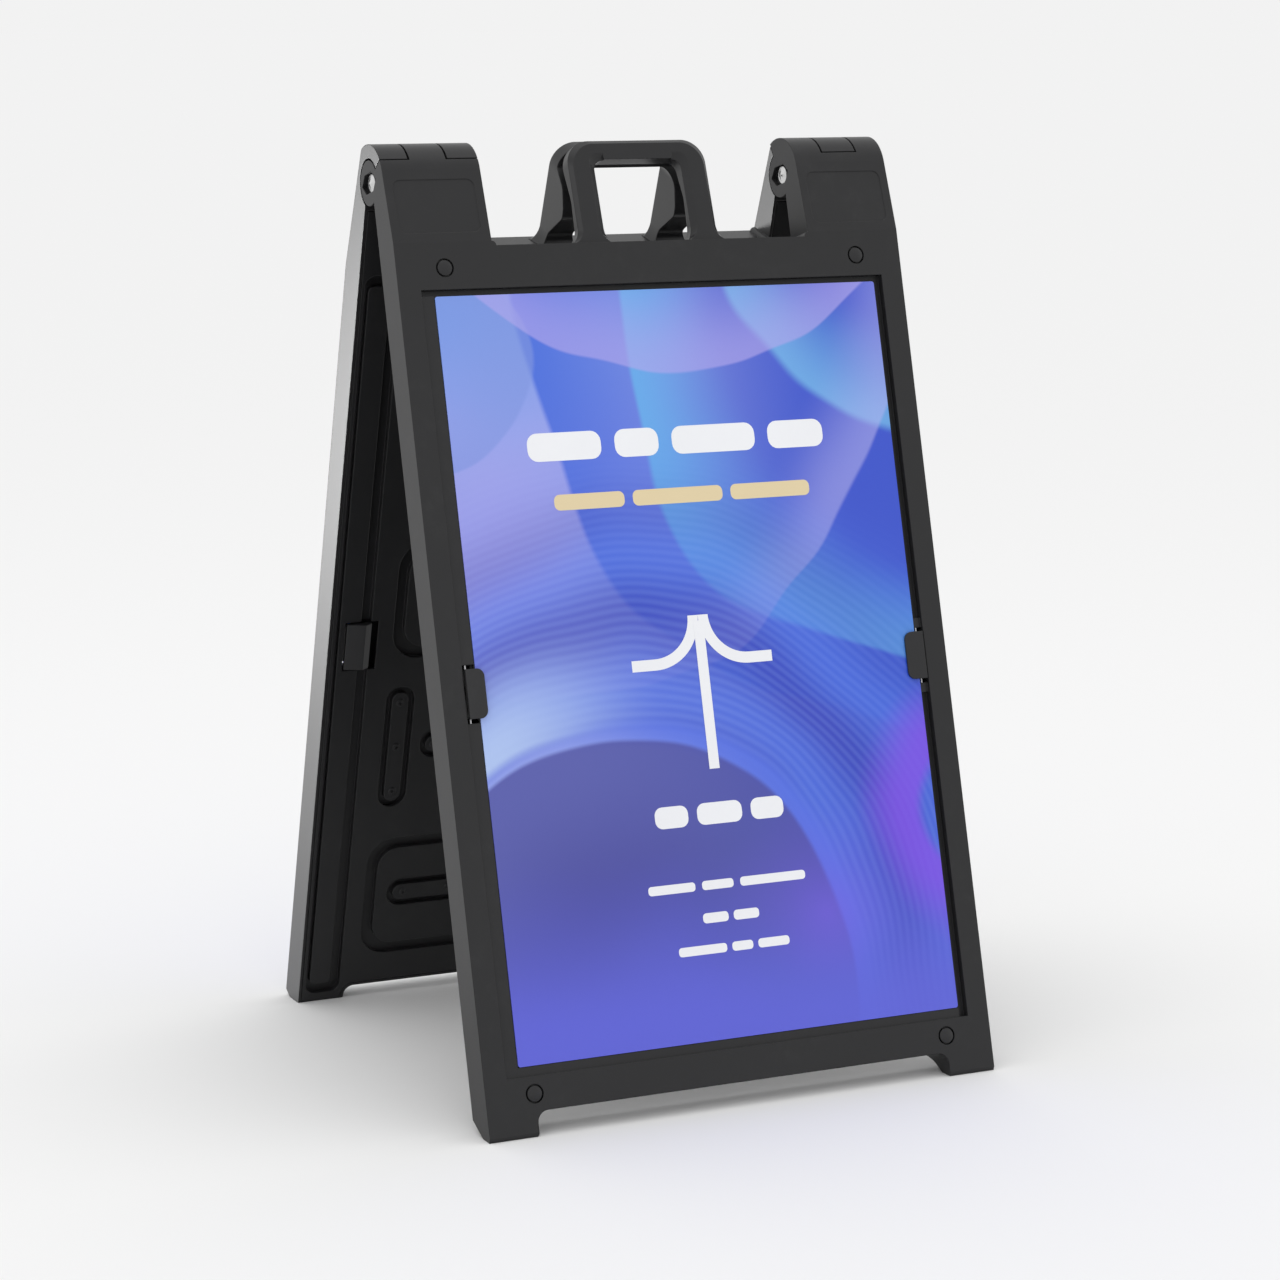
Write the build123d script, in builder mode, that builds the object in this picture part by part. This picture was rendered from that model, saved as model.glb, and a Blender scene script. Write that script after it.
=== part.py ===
"""Folding A-frame pavement sign: two hollow moulded panels hinged along their top edge.

Millimetres. X runs across the sign, the front panel faces -Y and +Z is up. The origin is on
the floor, below the hinge axis and half way across. Each panel is drawn in its own frame:
x across the panel, p from the hinge axis towards the other panel (its own outer face has
p = -offset) and q up the panel from the hinge axis.
"""
import os
from collections import namedtuple
from math import cos, radians, sin, sqrt, tan

from build123d import *

os.makedirs("parts", exist_ok=True)

# Panels
panel_width = 674.6
panel_thickness = 47.0
axis_height = 1084.5          # hinge axis above the floor, sign open
tower_rise = 89.8             # hinge axis above the panel's top rail
front_tilt = 15.0
front_offset = 57.0           # hinge axis to the front panel's outer face
rear_tilt = 15.25
rear_offset = 52.8

# Moulded walls
wall = 3.5
rail_skin = 3.6
floor_skin = 2.8
cover_thickness = 2.8
seam = 0.9                    # dark line between a shell's rim and its cover
rib_thickness = 2.4
rib_depth = 20.0
rib_margin = 30.0             # from a rib's end to the end of the hollow
rib_rows = 4
rib_columns = 3
overrun = 1.0                 # how far a cut runs past the face that it opens
bite = 0.5                    # how far an added wall starts inside its neighbour
near = 0.1                    # tolerance when a corner is chosen by its place

# Feet
foot_width = 62.5
foot_height = 30.1
foot_fillet = 14.0
foot_toe = 3.0
foot_sole = 18.0              # solid bottom of a foot
front_outer_cut = (3.0, 5.0)  # run and rise of the chamfer under a foot's outer edge
front_inner_cut = (27.0, 14.0)
rear_outer_cut = (16.0, 8.0)
rear_inner_cut = (1.5, 1.5)

# Recess for the sign sheet
recess_width = 617.4
recess_bottom = 71.1          # above the foot of the panel
recess_height = 926.0
ledge_depth = 3.0
gutter_depth = 10.0
gutter_gap = 1.0              # from the sheet's edge to the gutter
sheet_width = 588.8
sheet_height = 906.5
sheet_thickness = 2.0
sheet_inset = 2.5             # sheet's face below the panel's face
sheet_corner = 3.0
sheet_gap = 0.4
sheet_left = 17.4             # ledge left showing beside the sheet
sheet_foot = 11.7             # ledge left showing below the sheet

# Corner plugs and the screws under them
plug_x = 275.5
plug_low = 50.6
plug_drop = 25.3              # top plugs below the top rail
plug_radius = 9.2
plug_well_radius = 11.2
plug_well_depth = 5.0
plug_dome = 2.4
plug_stem_radius = 6.0
boss_wall = 3.0
screw_radius = 2.5
screw_head_radius = 4.6
screw_head_height = 2.6
screw_clearance = 0.3
screw_thread_gap = 0.02
screw_end_gap = 1.0
post_radius = 5.0
boss_depth = plug_well_depth + screw_head_height + boss_wall   # a boss's end, from the face

# Towers and hinge
tower_width = 124.9
tower_lean = 7.2
tower_fillet = 5.5
hood_radius = 46.0
front_face_gap = 46.0         # hinge axis to the leaning face of a tower
rear_face_gap = 37.5
rear_hood_fillet = 9.0
barrel_radius = 28.0
barrel_gap = 1.5
knuckle_gap = 2.5
inner_knuckle = 38.6
middle_knuckle = 45.8
ear_thickness = 11.3
ear_gap = 1.0
front_lip = 21.0              # degrees that a hood wraps past its own panel's upright
rear_lip = 34.75
stop_gap = 2.0                # degrees between a hood's lip and the other panel's shoulder
badge_width = 104.0
badge_height = 66.0
badge_rise = 46.0             # middle of the badge recess below the hinge axis
badge_depth = 1.0
badge_corner = 10.0
tower_core = 36.0             # solid part of a tower, measured down from the axis
tower_front = 13.5            # tower's leaning front, in front of its hollow

# Hinge bolts
bolt_radius = 5.0
bolt_clearance = 0.08
bolt_head_radius = 10.8
bolt_head_rim = 2.5
bolt_head_dome = 3.2
pocket_depth = 6.0
pocket_height = 23.4
pocket_length = 46.0
nut_flats = 17.0
nut_height = 4.6
washer_radius = 10.0
washer_thickness = 1.0
washer_gap = 0.3              # washer above the pocket's floor
nut_clearance = 0.02
washer_clearance = 0.1
bolt_end_gap = 0.6            # bolt's end below the tower's side

# Handles
handle_half_width = 92.5
handle_rise = 130.5
handle_corner = 30.0
handle_flare = 11.0
handle_flare_height = 20.0
flare_middle = (0.32, 0.42)   # a flare's middle point, as shares of its width and height
grip_height = 25.0
opening_half_width = 58.5
opening_corner = 12.0
opening_flare = 7.0
opening_flare_middle = (0.68, 0.45)
handle_lean = 6.0
handle_edge = 5.0
facet_width = 8.0
facet_depth = 5.0
grip_plain = 46.0             # half width of the grip without a facet
front_handle_set = 6.5        # handle's face behind the panel's outer face, at the rail
rear_handle_set = 9.0
handle_headroom = 5.0         # side profile above the handle's top
handle_waist = 24.0           # back of the front handle's legs behind the panel's outer face
handle_waist_low = 12.0       # the waist's bottom above the rail
handle_waist_high = 55.8
handle_root_depth = 29.0      # back of the front handle at the rail
grip_back_low = (37.0, 93.8)  # back of the front grip: depth behind the face, above the rail
grip_back_high = 39.0
front_back_radii = (30.0, 40.0, 20.0)
handle_fold_gap = 8.0         # between the handles' legs when the sign is folded
rear_grip_back = 45.8         # back of the rear grip behind the panel's outer face
rear_grip_low = 103.8
bulge_brow = (8.0, 83.8)      # short of the bulge's depth, above the rail
bulge_high = 59.8
bulge_low = 47.8
rear_waist = (35.8, 12.8)
rear_root_depth = 44.8
rear_back_radii = (6.0, 20.0, 16.0, 10.0, 12.0)
tenon_set = 3.5               # tenon's front behind the handle's face
tenon_length = 34.0
tenon_depth = 12.0
tenon_drop = 16.0
tenon_gap = 0.3

# Sheet clips
clip_middle = 519.5           # above the foot of the panel
clip_length = 58.6
clip_reach = 27.0
clip_corner = 9.5
clip_slope = 3.0              # rise of the tab from its tip to its root
tab_tip = 2.2
clip_slot = 5.0               # gap beyond each end of a tab
pivot_x = 302.3
pivot_depth = 7.5
pivot_radius = 1.6
pivot_clearance = 0.06
clip_barrel_radius = 3.6
pin_overhang = 12.0
pin_cover = 1.2               # plastic over the buried ends of a pin
clip_gap = 0.35                # tab above the sheet
clip_root_gap = 2.6           # tab's root to the recess wall
clip_heel = 2.0               # depth of the tab's root below its underside
lever_thickness = 5.0
lever_inset = 6.0             # lever's ends inside the tab's
key_outer = 314.0             # thumb key on the panel's inner side, from the middle
key_peak = 291.0
key_inner = 281.0
key_rise = 6.6
key_edge = 1.0                # key's long edges above the cover
key_length = 62.0
key_lift = 8.0                # key's middle above the tab's middle
key_play = 2.4
key_travel = 9.5
spring_wire = 1.0
spring_turns = 7
spring_length = 16.0
spring_pocket = 19.0
spring_pocket_gap = 1.5
window_lip = 16.0             # how far the ledge is open beside the pivot

# Grooves moulded in the covers
groove_depth = 8.0
channel_outer = 328.5
channel_inner = 281.5
front_channel_foot = 44.0
rear_channel_foot = 25.0
channel_top = 1020.0
channel_ring = 14.0
channel_edge_ring = 5.0
channel_corner = 13.0
capsule_x = 232.0
capsule_middle = 379.0
capsule_length = 172.0
capsule_width = 39.0
capsule_ring = 8.5
capsule_pitch = 63.5
disc_x = 180.5
disc_radius = 19.0
disc_island = 11.0
big_ring_width = 514.0
big_ring_bottom = 74.6
big_ring_height = 171.4
big_ring_groove = 15.0
big_ring_corner = 36.0
rung_x = 140.0
rung_middle = 164.0
upper_ring_width = 501.0
upper_ring_bottom = 505.0
upper_ring_height = 161.0
stud_radius = 5.0
stud_height = 1.6
stud_dimple = 2.0

Panel = namedtuple("Panel", "name tilt offset facing face_gap lip shoulder outer_cut inner_cut"
                   " channel_foot")


def facing_shoulder(lip):
    """Angle from a panel's upright to its shoulder, where the other panel's lip stops."""
    return front_tilt + rear_tilt + lip + stop_gap


front = Panel("front", front_tilt, front_offset, -1, front_face_gap, front_lip,
              facing_shoulder(rear_lip), front_outer_cut, front_inner_cut,
              front_channel_foot)
rear = Panel("rear", rear_tilt, rear_offset, 1, rear_face_gap, rear_lip,
             facing_shoulder(front_lip), rear_outer_cut, rear_inner_cut,
             rear_channel_foot)
panels = (front, rear)


# ---------------------------------------------------------------- frames and small helpers
def outward(panel):
    return Vector(0, panel.facing * cos(radians(panel.tilt)), sin(radians(panel.tilt)))


def upward(panel):
    return Vector(0, -panel.facing * sin(radians(panel.tilt)), cos(radians(panel.tilt)))


def across(panel):
    return Vector(-panel.facing, 0, 0)


def face_plane(panel, p):
    """Plane across the panel at depth p, drawn in x and q, its normal pointing out."""
    return Plane(origin=Vector(0, 0, axis_height) - outward(panel) * p,
                 x_dir=across(panel), z_dir=outward(panel))


def side_plane(panel, x):
    """Plane through the panel's thickness at x, drawn in p and q, its normal along x."""
    return Plane(origin=Vector(0, 0, axis_height) + across(panel) * x,
                 x_dir=-outward(panel), z_dir=across(panel))


def level_plane(panel, q):
    """Plane square to the panel's height, drawn in x and p, its normal pointing up."""
    return Plane(origin=Vector(0, 0, axis_height) + upward(panel) * q,
                 x_dir=across(panel), z_dir=upward(panel))


def foot_q(panel):
    """The outer face's bottom edge, which stands on the floor."""
    return -(axis_height + panel.offset * sin(radians(panel.tilt))) / cos(radians(panel.tilt))


def inner_p(panel):
    return panel_thickness - panel.offset


def save(piece, label):
    piece.label = label
    export_step(piece, f"parts/{label}.step")


# ---------------------------------------------------------------- shared outlines
rail_q = -tower_rise
tower_inner = panel_width / 2 - tower_width
recess_top = recess_bottom + recess_height


def panel_outline(panel):
    """Front view of a panel below its towers: a rail-topped board on two feet."""
    height = rail_q - foot_q(panel)
    with BuildSketch() as outline:
        with Locations((0, foot_q(panel) + height / 2)):
            Rectangle(panel_width, height)
        with Locations((0, foot_q(panel) + foot_height / 2)):
            Rectangle(panel_width - 2 * foot_width, foot_height, mode=Mode.SUBTRACT)
        tops = outline.vertices().filter_by_position(
            Axis.Y, foot_q(panel) + foot_height - near, foot_q(panel) + foot_height + near)
        fillet(tops, foot_fillet)
        toes = outline.vertices().filter_by_position(
            Axis.Y, foot_q(panel) - near, foot_q(panel) + near)
        toes = toes.filter_by_position(Axis.X, near - panel_width / 2, panel_width / 2 - near)
        fillet(toes, foot_toe)
    return outline.sketch


def crease_q(panel):
    """Where a tower's leaning face leaves the panel's outer face."""
    lean = radians(tower_lean)
    return (panel.face_gap - panel.offset * cos(lean)) / sin(lean)


def tower_low(panel):
    return min(rail_q, crease_q(panel)) - wall


def lean_p(panel, q):
    """Depth of a tower's outer face at a height, flat at first and then leaning."""
    lean = radians(tower_lean)
    return max(-panel.offset, (q * sin(lean) - panel.face_gap) / cos(lean))


def on_tower_face(panel, angle):
    """Distance from the axis to the tower's outside, at an angle from the panel's upright."""
    return min(hood_radius, panel.face_gap / sin(radians(angle + tower_lean)))


def tower_profile(panel):
    """Side view of a tower up to the shoulder where the other panel's hoods stop."""
    lean = radians(tower_lean)
    low = tower_low(panel)
    turn = radians(panel.shoulder)
    reach = on_tower_face(panel, panel.shoulder)
    shoulder = (-reach * sin(turn), reach * cos(turn))
    with BuildSketch() as profile:
        with BuildLine():
            if panel.face_gap < hood_radius:
                Line((-panel.offset, crease_q(panel)), shoulder)
            else:
                tangent = (-hood_radius * cos(lean), hood_radius * sin(lean))
                Line((-panel.offset, crease_q(panel)), tangent)
                middle = radians((90 - tower_lean + panel.shoulder) / 2)
                ThreePointArc(tangent, (-hood_radius * sin(middle), hood_radius * cos(middle)),
                              shoulder)
            Polyline(shoulder, (0, 0), (inner_p(panel), 0), (inner_p(panel), low),
                     (-panel.offset, low), (-panel.offset, crease_q(panel)))
        make_face()
    return profile.sketch


def hood_profile(panel):
    """Side view of a panel's own knuckle: a barrel under a hood that wraps over the axis."""
    lip = radians(panel.lip)
    turn = radians(panel.shoulder)
    far = 3 * hood_radius
    lean = radians(tower_lean)
    with BuildSketch() as profile:
        Circle(hood_radius)
        with BuildLine():
            Polyline((0, 0), (far * sin(lip), far * cos(lip)), (far, 0), (far, -far),
                     (-far, -far), (-far, 0), (-far * sin(turn), far * cos(turn)), close=True)
        make_face(mode=Mode.SUBTRACT)
        if panel.face_gap < hood_radius:
            foot = Vector(-panel.face_gap * cos(lean), panel.face_gap * sin(lean))
            along = Vector(sin(lean), cos(lean))
            out = Vector(-cos(lean), sin(lean))
            corners = [foot - along * far, foot + along * far,
                       foot + along * far + out * far, foot - along * far + out * far]
            with BuildLine():
                Polyline(*[(c.X, c.Y) for c in corners], close=True)
            make_face(mode=Mode.SUBTRACT)
            brow = profile.vertices().sort_by_distance(foot + along * sqrt(
                hood_radius ** 2 - panel.face_gap ** 2))[0]
            fillet(brow, rear_hood_fillet)
        Circle(barrel_radius)
    return profile.sketch


# Where along x each knuckle stands. A panel owns the middle knuckle of its left tower and the
# two outer ones of its right tower; the other panel, turned half round, owns the rest.
knuckle_edges = (tower_inner,
                 tower_inner + inner_knuckle,
                 tower_inner + inner_knuckle + knuckle_gap,
                 tower_inner + inner_knuckle + knuckle_gap + middle_knuckle,
                 tower_inner + inner_knuckle + 2 * knuckle_gap + middle_knuckle,
                 panel_width / 2)
own_slots = ((-knuckle_edges[3], -knuckle_edges[2]),
             (knuckle_edges[0], knuckle_edges[1]),
             (knuckle_edges[4], knuckle_edges[5]))
other_slots = ((-knuckle_edges[5] + ear_thickness, -knuckle_edges[3]),
               (-knuckle_edges[2], -knuckle_edges[0] + overrun),
               (knuckle_edges[1], knuckle_edges[4]))


def pocket_outline():
    """Stretched hexagon that keeps a bolt head or a nut from turning."""
    half, point = pocket_height / 2, pocket_length / 2
    with BuildSketch() as pocket:
        with BuildLine():
            Polyline((-point, 0), (-point + half, half), (point - half, half),
                     (point, 0), (point - half, -half), (-point + half, -half), close=True)
        make_face()
    return pocket.sketch


def foot_cuts(panel):
    """Side view of everything to remove below and around a panel's foot."""
    slope = tan(radians(panel.tilt))
    outer_y = panel.offset / cos(radians(panel.tilt)) + axis_height * slope
    inner_y = outer_y - panel_thickness / cos(radians(panel.tilt))
    run, rise = panel.outer_cut
    inner_run, inner_rise = panel.inner_cut
    far = 200
    with BuildSketch() as cuts:
        with Locations((panel.facing * outer_y, -far / 2)):
            Rectangle(3 * far, far)
        with BuildLine():
            Polyline((panel.facing * (outer_y - run), 0), (panel.facing * (outer_y + far), 0),
                     (panel.facing * (outer_y - run + (run - rise * slope) * far / rise), far),
                     close=True)
        make_face()
        with BuildLine():
            Polyline((panel.facing * (inner_y + inner_run), 0),
                     (panel.facing * (inner_y - far), 0),
                     (panel.facing * (inner_y + inner_run
                                      - (inner_run + inner_rise * slope) * far / inner_rise), far),
                     close=True)
        make_face()
    return cuts.sketch


# ---------------------------------------------------------------- the face shell
def sheet_box(panel):
    """Left, right, bottom and top of the sign sheet, in the panel's x and q."""
    left = -recess_width / 2 + sheet_left
    bottom = foot_q(panel) + recess_bottom + sheet_foot
    return left, left + sheet_width, bottom, bottom + sheet_height


def plug_spots(panel):
    return [(x, q) for q in (foot_q(panel) + plug_low, rail_q - plug_drop)
            for x in (-plug_x, plug_x)]


def clip_q(panel):
    return foot_q(panel) + clip_middle


def box(left, right, bottom, top):
    """A rectangle by its edges, in the sketch being drawn."""
    with Locations(((left + right) / 2, (bottom + top) / 2)):
        Rectangle(right - left, top - bottom)


def recess_outline(panel):
    with BuildSketch() as recess:
        box(-recess_width / 2, recess_width / 2, foot_q(panel) + recess_bottom,
            foot_q(panel) + recess_top)
    return recess.sketch


def gutter_outline(panel):
    """The deep channel along the right edge and the top of the sheet."""
    left, right, bottom, top = sheet_box(panel)
    with BuildSketch() as gutter:
        box(right + gutter_gap, recess_width / 2, foot_q(panel) + recess_bottom,
            foot_q(panel) + recess_top)
        box(-recess_width / 2, recess_width / 2, top + gutter_gap,
            foot_q(panel) + recess_top)
    return gutter.sketch


def tower_ends(side):
    """Left and right of a tower: side is -1 for the panel's left one and 1 for the right."""
    ends = (side * tower_inner, side * panel_width / 2)
    return min(ends), max(ends)


def clip_window(panel, side):
    """Left, right, bottom and top of the slot through the ledge beside a clip's tab."""
    middle = clip_q(panel)
    reach = clip_length / 2 + clip_slot
    ends = (side * recess_width / 2, side * (recess_width / 2 - window_lip))
    return min(ends), max(ends), middle - reach, middle + reach


def face_shell(panel):
    """The outer half of a panel: face, side walls, feet, towers and knuckles in one moulding."""
    half = panel_width / 2
    outer = face_plane(panel, -panel.offset)
    inner = face_plane(panel, inner_p(panel))
    floor_depth = sheet_inset + sheet_thickness
    back_depth = floor_depth + floor_skin
    cavity_low = foot_q(panel) + foot_height + wall
    recess = recess_outline(panel)
    gutter = gutter_outline(panel)
    with BuildPart() as shell:
        with BuildSketch(outer):
            add(panel_outline(panel))
        extrude(amount=-panel_thickness)
        with BuildSketch(inner):
            box(-half + wall, half - wall, cavity_low, rail_q - wall)
        extrude(amount=panel_thickness - back_depth, mode=Mode.SUBTRACT)
        with BuildSketch(face_plane(panel, -panel.offset + back_depth)):
            box(-half + wall, half - wall, cavity_low, rail_q - wall)
            add(offset(recess, wall, kind=Kind.INTERSECTION, mode=Mode.PRIVATE),
                mode=Mode.SUBTRACT)
        extrude(amount=back_depth - rail_skin, mode=Mode.SUBTRACT)
        # Hollow feet on solid soles.
        for side in (-1, 1):
            with BuildSketch(inner):
                ends = (side * (half - foot_width + wall), side * (half - wall))
                box(min(ends), max(ends), foot_q(panel) + foot_sole,
                    cavity_low + overrun)
            extrude(amount=panel_thickness - rail_skin, mode=Mode.SUBTRACT)
        # Backing for the gutters, then the recess and the gutters themselves.
        with BuildSketch(face_plane(panel, -panel.offset + gutter_depth + floor_skin)):
            add(offset(gutter, floor_skin, kind=Kind.INTERSECTION, mode=Mode.PRIVATE))
        extrude(amount=gutter_depth)
        with BuildSketch(outer):
            add(recess)
        extrude(amount=-ledge_depth, mode=Mode.SUBTRACT)
        left, right, bottom, top = sheet_box(panel)
        with BuildSketch(outer):
            box(left - sheet_gap, recess_width / 2, bottom - sheet_gap,
                foot_q(panel) + recess_top)
        extrude(amount=-floor_depth, mode=Mode.SUBTRACT)
        with BuildSketch(outer):
            add(gutter)
        extrude(amount=-gutter_depth, mode=Mode.SUBTRACT)
        # Stiffening ribs across the hollow, behind the sheet.
        with BuildSketch(face_plane(panel, -panel.offset + back_depth - bite)):
            recess_foot = foot_q(panel) + recess_bottom
            with Locations([(0, recess_foot + recess_height * row / (rib_rows + 1))
                            for row in range(1, rib_rows + 1)]):
                Rectangle(recess_width - 2 * (wall + rib_margin), rib_thickness)
            with Locations([(recess_width * (column / (rib_columns + 1) - 0.5),
                             recess_foot + recess_height / 2)
                            for column in range(1, rib_columns + 1)]):
                Rectangle(rib_thickness, recess_height - 2 * rib_margin)
        extrude(amount=-rib_depth)
        # Towers, with the hollow of each below its solid knuckles.
        for side in (-1, 1):
            start, stop = tower_ends(side)
            if crease_q(panel) < rail_q:
                with BuildSketch(side_plane(panel, start)):
                    with BuildLine():
                        Polyline((-panel.offset, crease_q(panel)),
                                 (lean_p(panel, rail_q + wall), rail_q + wall),
                                 (-panel.offset, rail_q + wall), close=True)
                    make_face()
                extrude(amount=stop - start, mode=Mode.SUBTRACT)
            with BuildSketch(side_plane(panel, start)):
                add(tower_profile(panel))
            extrude(amount=stop - start)
            for low, high, front_wall in ((tower_low(panel) - overrun, rail_q, boss_depth),
                                          (rail_q - overrun, -tower_core, tower_front)):
                with BuildSketch(inner):
                    box(start + wall, stop - wall, low, high)
                extrude(amount=panel_thickness - front_wall, mode=Mode.SUBTRACT)
            corner = side * tower_inner
            with BuildSketch(face_plane(panel, lean_p(panel, rail_q))):
                with BuildLine():
                    Line((corner, rail_q), (corner - side * tower_fillet, rail_q))
                    RadiusArc((corner - side * tower_fillet, rail_q),
                              (corner, rail_q + tower_fillet), side * tower_fillet)
                    Line((corner, rail_q + tower_fillet), (corner, rail_q))
                make_face()
            extrude(amount=-(inner_p(panel) - lean_p(panel, rail_q)))
        # Seat for the cover, just inside the rim.
        with BuildSketch(inner):
            add(offset(panel_outline(panel), -wall, kind=Kind.INTERSECTION, mode=Mode.PRIVATE))
        extrude(amount=cover_thickness, mode=Mode.SUBTRACT)
        # Screw bosses behind the corner plugs.
        with BuildSketch(face_plane(panel, -panel.offset + boss_depth)):
            with Locations(plug_spots(panel)):
                Circle(plug_well_radius + boss_wall)
        extrude(amount=boss_depth - rail_skin + bite)
        with BuildSketch(outer):
            with Locations(plug_spots(panel)):
                Circle(plug_well_radius)
        extrude(amount=-plug_well_depth, mode=Mode.SUBTRACT)
        with BuildSketch(outer):
            with Locations(plug_spots(panel)):
                Circle(plug_stem_radius + sheet_gap)
        extrude(amount=-plug_well_depth - screw_head_height, mode=Mode.SUBTRACT)
        with BuildSketch(outer):
            with Locations(plug_spots(panel)):
                Circle(screw_radius + screw_clearance)
        extrude(amount=-panel_thickness / 2, mode=Mode.SUBTRACT)
        for start, stop in other_slots:
            with BuildSketch(side_plane(panel, start)):
                Circle(barrel_radius + barrel_gap)
            extrude(amount=stop - start, mode=Mode.SUBTRACT)
        for start, stop in own_slots:
            with BuildSketch(side_plane(panel, start)):
                add(hood_profile(panel))
            extrude(amount=stop - start)
        # The ear at the left end, and the room for the other panel's ear at the right end.
        with BuildSketch(side_plane(panel, -half)):
            Circle(barrel_radius - ear_gap)
        extrude(amount=ear_thickness)
        with BuildSketch(side_plane(panel, half - ear_thickness - ear_gap)):
            Circle(barrel_radius + barrel_gap)
        extrude(amount=ear_thickness + ear_gap, mode=Mode.SUBTRACT)
        with BuildSketch(side_plane(panel, -half)):
            Circle(bolt_radius + bolt_clearance)
        extrude(amount=panel_width, mode=Mode.SUBTRACT)
        for x in (-half, tower_inner):
            with BuildSketch(side_plane(panel, x)):
                add(pocket_outline())
            extrude(amount=pocket_depth, mode=Mode.SUBTRACT)
        # Shallow badge recess on each leaning tower face.
        lean = radians(tower_lean)
        for side in (-1, 1):
            start, stop = tower_ends(side)
            badge_plane = Plane(
                origin=side_plane(panel, (start + stop) / 2).from_local_coords(
                    (-panel.face_gap * cos(lean), panel.face_gap * sin(lean), 0)),
                x_dir=across(panel),
                z_dir=outward(panel) * cos(lean) + upward(panel) * sin(lean))
            with BuildSketch(badge_plane):
                with Locations((0, -badge_rise)):
                    RectangleRounded(badge_width, badge_height, badge_corner)
            extrude(amount=-badge_depth, mode=Mode.SUBTRACT)
        # Slots for the clips, with a block above and below each that holds its pin.
        for side in (-1, 1):
            left, right, bottom, top = clip_window(panel, side)
            block = pivot_depth + pivot_radius + wall
            with BuildSketch(face_plane(panel, -panel.offset + block)):
                box(left, right, bottom - pin_overhang, top + pin_overhang)
            extrude(amount=wall + 2 * pivot_radius + pin_cover)
            with BuildSketch(face_plane(panel, -panel.offset + rib_depth)):
                box(left, right, bottom, top)
            extrude(amount=rib_depth, mode=Mode.SUBTRACT)
            with BuildSketch(level_plane(panel, bottom - pin_overhang - overrun)):
                with Locations((side * pivot_x, -panel.offset + pivot_depth)):
                    Circle(pivot_radius + pivot_clearance)
            extrude(amount=top - bottom + 2 * (pin_overhang + overrun), mode=Mode.SUBTRACT)
        # Slots in the top rail for the handle's tenons.
        with BuildSketch(level_plane(panel, rail_q + overrun)):
            with Locations([(x, tenon_p(panel)) for x in tenon_places()]):
                Rectangle(tenon_length + 2 * tenon_gap, tenon_depth + 2 * tenon_gap)
        extrude(amount=-wall - 2 * overrun, mode=Mode.SUBTRACT)
        with BuildSketch(Plane.YZ.offset(-half - overrun)):
            add(foot_cuts(panel))
        extrude(amount=panel_width + 2 * overrun, mode=Mode.SUBTRACT)
    return shell.part


# ---------------------------------------------------------------- the cover
def ring(width, height, groove, corner):
    """A rounded rectangular band, centred, with the groove's width all round."""
    with BuildSketch() as band:
        RectangleRounded(width, height, corner)
        RectangleRounded(width - 2 * groove, height - 2 * groove, corner - groove / 2,
                         mode=Mode.SUBTRACT)
    return band.sketch


def capsule_ring_outline(length, width):
    with BuildSketch() as band:
        SlotOverall(length, width)
        SlotOverall(length - 2 * capsule_ring, width - 2 * capsule_ring, mode=Mode.SUBTRACT)
    return band.sketch


def groove_outlines(panel):
    """Every groove of a cover, as one sketch in x and q."""
    foot = foot_q(panel)
    with BuildSketch() as grooves:
        for side in (-1, 1):
            width = channel_outer - channel_inner
            height = channel_top - panel.channel_foot
            with Locations((side * (channel_outer + channel_inner) / 2,
                            foot + (channel_top + panel.channel_foot) / 2)):
                RectangleRounded(width, height, channel_corner)
            shift = side * (channel_ring - channel_edge_ring) / 2
            with Locations((side * (channel_outer + channel_inner) / 2 + shift,
                            foot + (channel_top + panel.channel_foot) / 2)):
                RectangleRounded(width - channel_edge_ring - channel_ring,
                                 height - 2 * channel_ring, channel_corner / 2,
                                 mode=Mode.SUBTRACT)
            with Locations(Location((side * capsule_x, foot + capsule_middle, 0), (0, 0, 90))):
                add(capsule_ring_outline(capsule_length, capsule_width))
            with Locations((side * disc_x, foot + capsule_middle)):
                Circle(disc_radius)
                Circle(disc_island, mode=Mode.SUBTRACT)
            with Locations((side * rung_x, foot + rung_middle)):
                add(capsule_ring_outline(capsule_length, capsule_width))
        with Locations((0, foot + big_ring_bottom + big_ring_height / 2)):
            add(ring(big_ring_width, big_ring_height, big_ring_groove, big_ring_corner))
        with Locations((0, foot + upper_ring_bottom + upper_ring_height / 2)):
            add(ring(upper_ring_width, upper_ring_height, big_ring_groove, big_ring_corner))
    return grooves.sketch


def stud_spots(panel):
    foot = foot_q(panel)
    spots = []
    for side in (-1, 1):
        spots += [(side * capsule_x, foot + capsule_middle + step * capsule_pitch)
                  for step in (-1, 0, 1)]
        spots += [(side * rung_x + step * capsule_pitch, foot + rung_middle)
                  for step in (-1, 0, 1)]
        spots += [(side * disc_x, foot + capsule_middle)]
    return spots


def key_window(panel, side):
    """Left, right, bottom and top of the opening round a clip's thumb key."""
    middle = clip_q(panel) + key_lift
    ends = (side * (key_outer + key_play), side * (key_inner - key_travel))
    reach = key_length / 2 + key_play
    return min(ends), max(ends), middle - reach, middle + reach


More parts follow.
